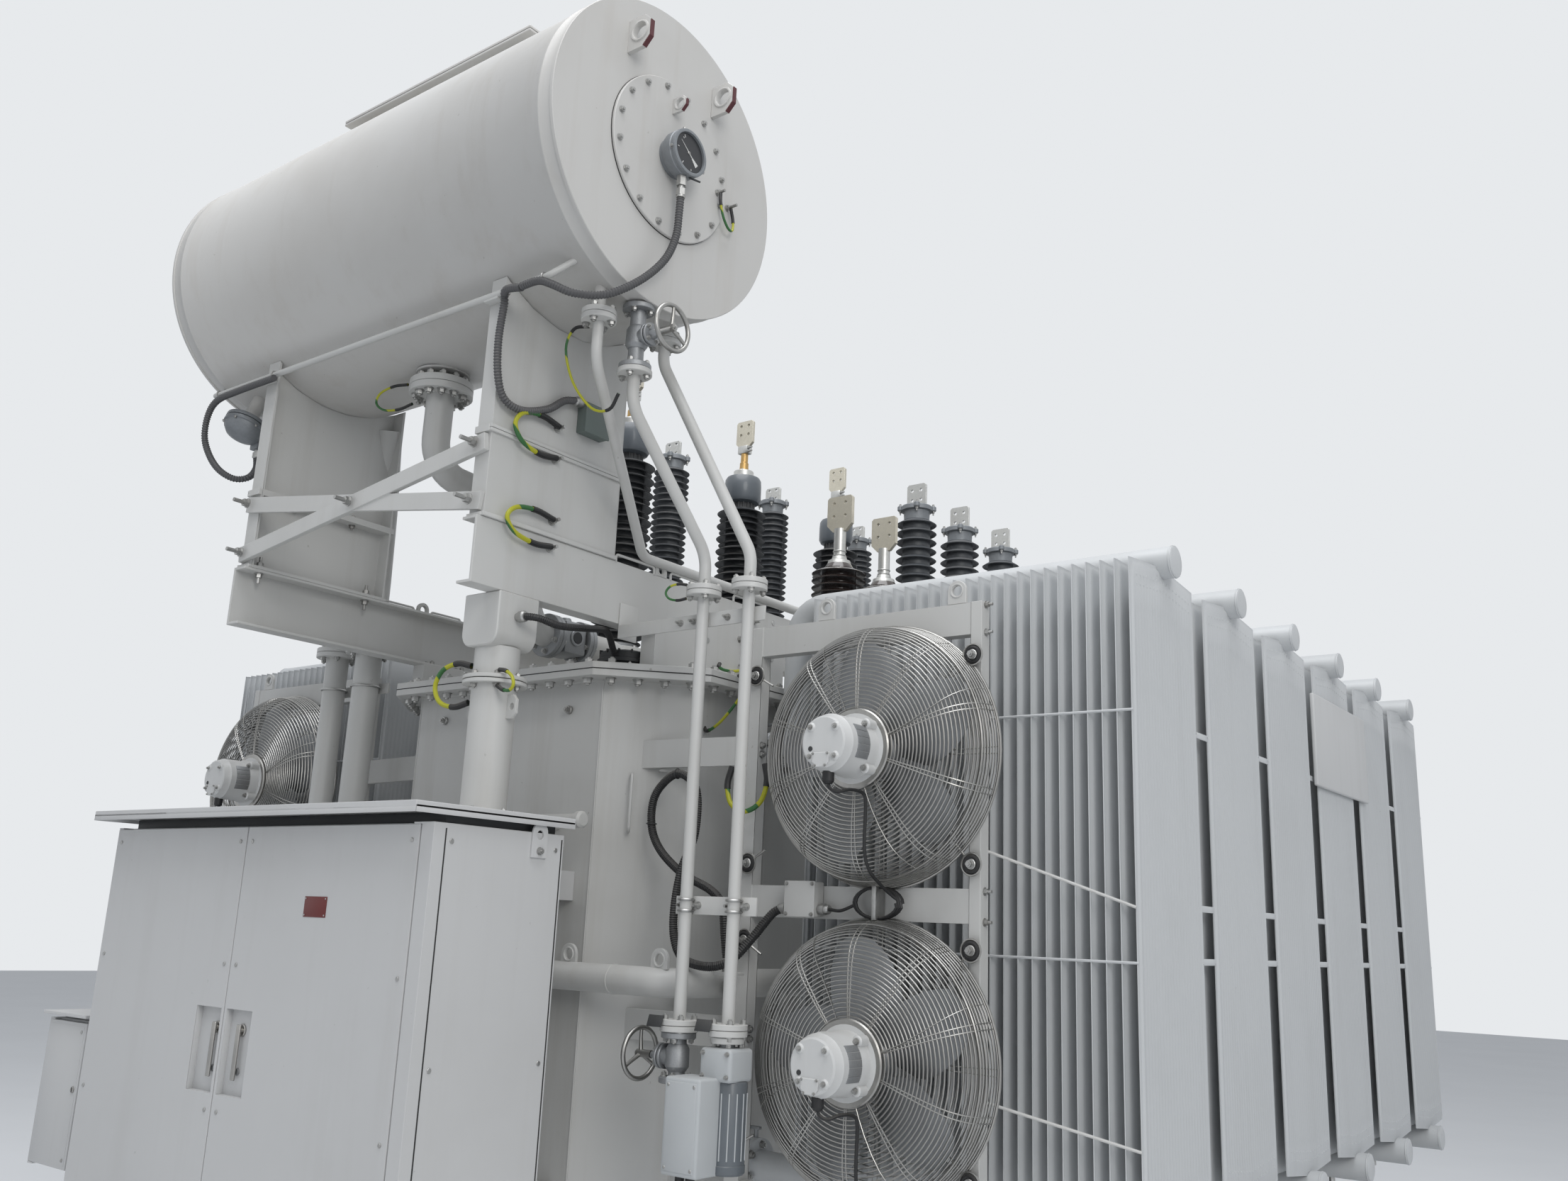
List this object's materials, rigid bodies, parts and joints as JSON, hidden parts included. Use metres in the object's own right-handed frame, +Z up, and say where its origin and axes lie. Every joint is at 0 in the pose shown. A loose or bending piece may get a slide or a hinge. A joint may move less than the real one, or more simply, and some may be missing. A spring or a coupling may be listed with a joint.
{
  "type": "power transformer",
  "caption": "Oil-filled power transformer with radiator banks and fans, a raised conservator, bushings and a control cabinet.",
  "frame": {"origin": "on the ground under the middle of the tank, on the underside of the base frame's middle cross beam", "axes": "+Z up, -Y towards the control cabinet's end, +X towards the side with the oil pipes"},
  "size_m": [4.86, 5.44, 4.802],
  "materials": {
    "white_paint": "satin off-white paint",
    "radiator_paint": "satin off-white paint",
    "guard_steel": "bright steel wire and painted motor",
    "wheel_steel": "bright steel",
    "fan_blade": "matt aluminium",
    "cast_grey": "grey casting",
    "dark_cap": "matt dark cap",
    "shed_grey": "dark grey sheds",
    "shed_brown": "brown glazed sheds",
    "box_grey": "grey housing",
    "gauge_grey": "dark grey housing"
  },
  "bodies": {
    "transformer": {"base_frame": "white_paint", "breather": "box_grey", "cabinet_body": "white_paint", "cabinet_roof": "white_paint", "cable_duct": "white_paint", "conservator": "white_paint", "conservator_hatch": "white_paint", "conservator_leg_left": "white_paint", "conservator_leg_right": "white_paint", "down_pipe_left": "white_paint", "down_pipe_right": "white_paint", "end_bushings": "shed_grey", "fan_frame_left": "white_paint", "fan_frame_right": "white_paint", "fan_guard_left_lower": "guard_steel", "fan_guard_left_upper": "guard_steel", "fan_guard_right_lower": "guard_steel", "fan_guard_right_upper": "guard_steel", "hv_bushing_1": "shed_grey", "hv_bushing_2": "shed_grey", "hv_bushing_3": "shed_grey", "leg_brace": "white_paint", "level_gauge": "gauge_grey", "lower_valve": "cast_grey", "lv_bushings": "shed_brown", "main_oil_pipe": "white_paint", "mid_bushing_1": "shed_grey", "mid_bushing_2": "shed_grey", "mid_bushing_3": "shed_grey", "radiator_left_1": "radiator_paint", "radiator_left_2": "radiator_paint", "radiator_left_3": "radiator_paint", "radiator_left_4": "radiator_paint", "radiator_left_5": "radiator_paint", "radiator_left_6": "radiator_paint", "radiator_right_1": "radiator_paint", "radiator_right_2": "radiator_paint", "radiator_right_3": "radiator_paint", "radiator_right_4": "radiator_paint", "radiator_right_5": "radiator_paint", "radiator_right_6": "radiator_paint", "relief_device": "dark_cap", "side_box": "white_paint", "support_beam_left": "white_paint", "support_beam_right": "white_paint", "tank_body": "white_paint", "tank_cover": "white_paint", "tank_pipe": "white_paint", "thin_oil_pipe": "white_paint", "upper_valve": "cast_grey"},
    "fan_rotor_right_lower": {"fan_rotor_right_lower": "fan_blade"},
    "fan_rotor_right_upper": {"fan_rotor_right_upper": "fan_blade"},
    "fan_rotor_left_lower": {"fan_rotor_left_lower": "fan_blade"},
    "fan_rotor_left_upper": {"fan_rotor_left_upper": "fan_blade"},
    "cabinet_door_left": {"cabinet_door_left": "white_paint"},
    "cabinet_door_right": {"cabinet_door_right": "white_paint"},
    "side_box_door": {"side_box_door": "white_paint"},
    "upper_handwheel": {"upper_handwheel": "wheel_steel"},
    "lower_handwheel": {"lower_handwheel": "wheel_steel"}
  },
  "joints": [
    {"name": "fan_right_lower_spin", "type": "hinge", "parent": "transformer", "child": "fan_rotor_right_lower", "pos_m": [1.635, -1.995, 1.285], "axis": [0, 1, 0], "continuous": true},
    {"name": "fan_right_upper_spin", "type": "hinge", "parent": "transformer", "child": "fan_rotor_right_upper", "pos_m": [1.635, -1.995, 2.195], "axis": [0, 1, 0], "continuous": true},
    {"name": "fan_left_lower_spin", "type": "hinge", "parent": "transformer", "child": "fan_rotor_left_lower", "pos_m": [-1.635, -1.995, 1.285], "axis": [0, 1, 0], "continuous": true},
    {"name": "fan_left_upper_spin", "type": "hinge", "parent": "transformer", "child": "fan_rotor_left_upper", "pos_m": [-1.635, -1.995, 2.195], "axis": [0, 1, 0], "continuous": true},
    {"name": "cabinet_door_left_hinge", "type": "hinge", "parent": "transformer", "child": "cabinet_door_left", "pos_m": [-0.865, -3.115, 0.626], "axis": [0, 0, 1], "range_deg": [-110, 0]},
    {"name": "cabinet_door_right_hinge", "type": "hinge", "parent": "transformer", "child": "cabinet_door_right", "pos_m": [0.804, -3.115, 0.626], "axis": [0, 0, 1], "range_deg": [0, 110]},
    {"name": "side_box_door_hinge", "type": "hinge", "parent": "transformer", "child": "side_box_door", "pos_m": [-1.27, -3.05, 0.746], "axis": [0, 0, 1], "range_deg": [-110, 0]},
    {"name": "upper_valve_turn", "type": "hinge", "parent": "transformer", "child": "upper_handwheel", "pos_m": [1.1953, -2.635, 3.5136], "axis": [1, 0, 0], "range_deg": [0, 1440]},
    {"name": "lower_valve_turn", "type": "hinge", "parent": "transformer", "child": "lower_handwheel", "pos_m": [0.9347, -2.285, 1.26], "axis": [-1, 0, 0], "range_deg": [0, 1440]}
  ]
}
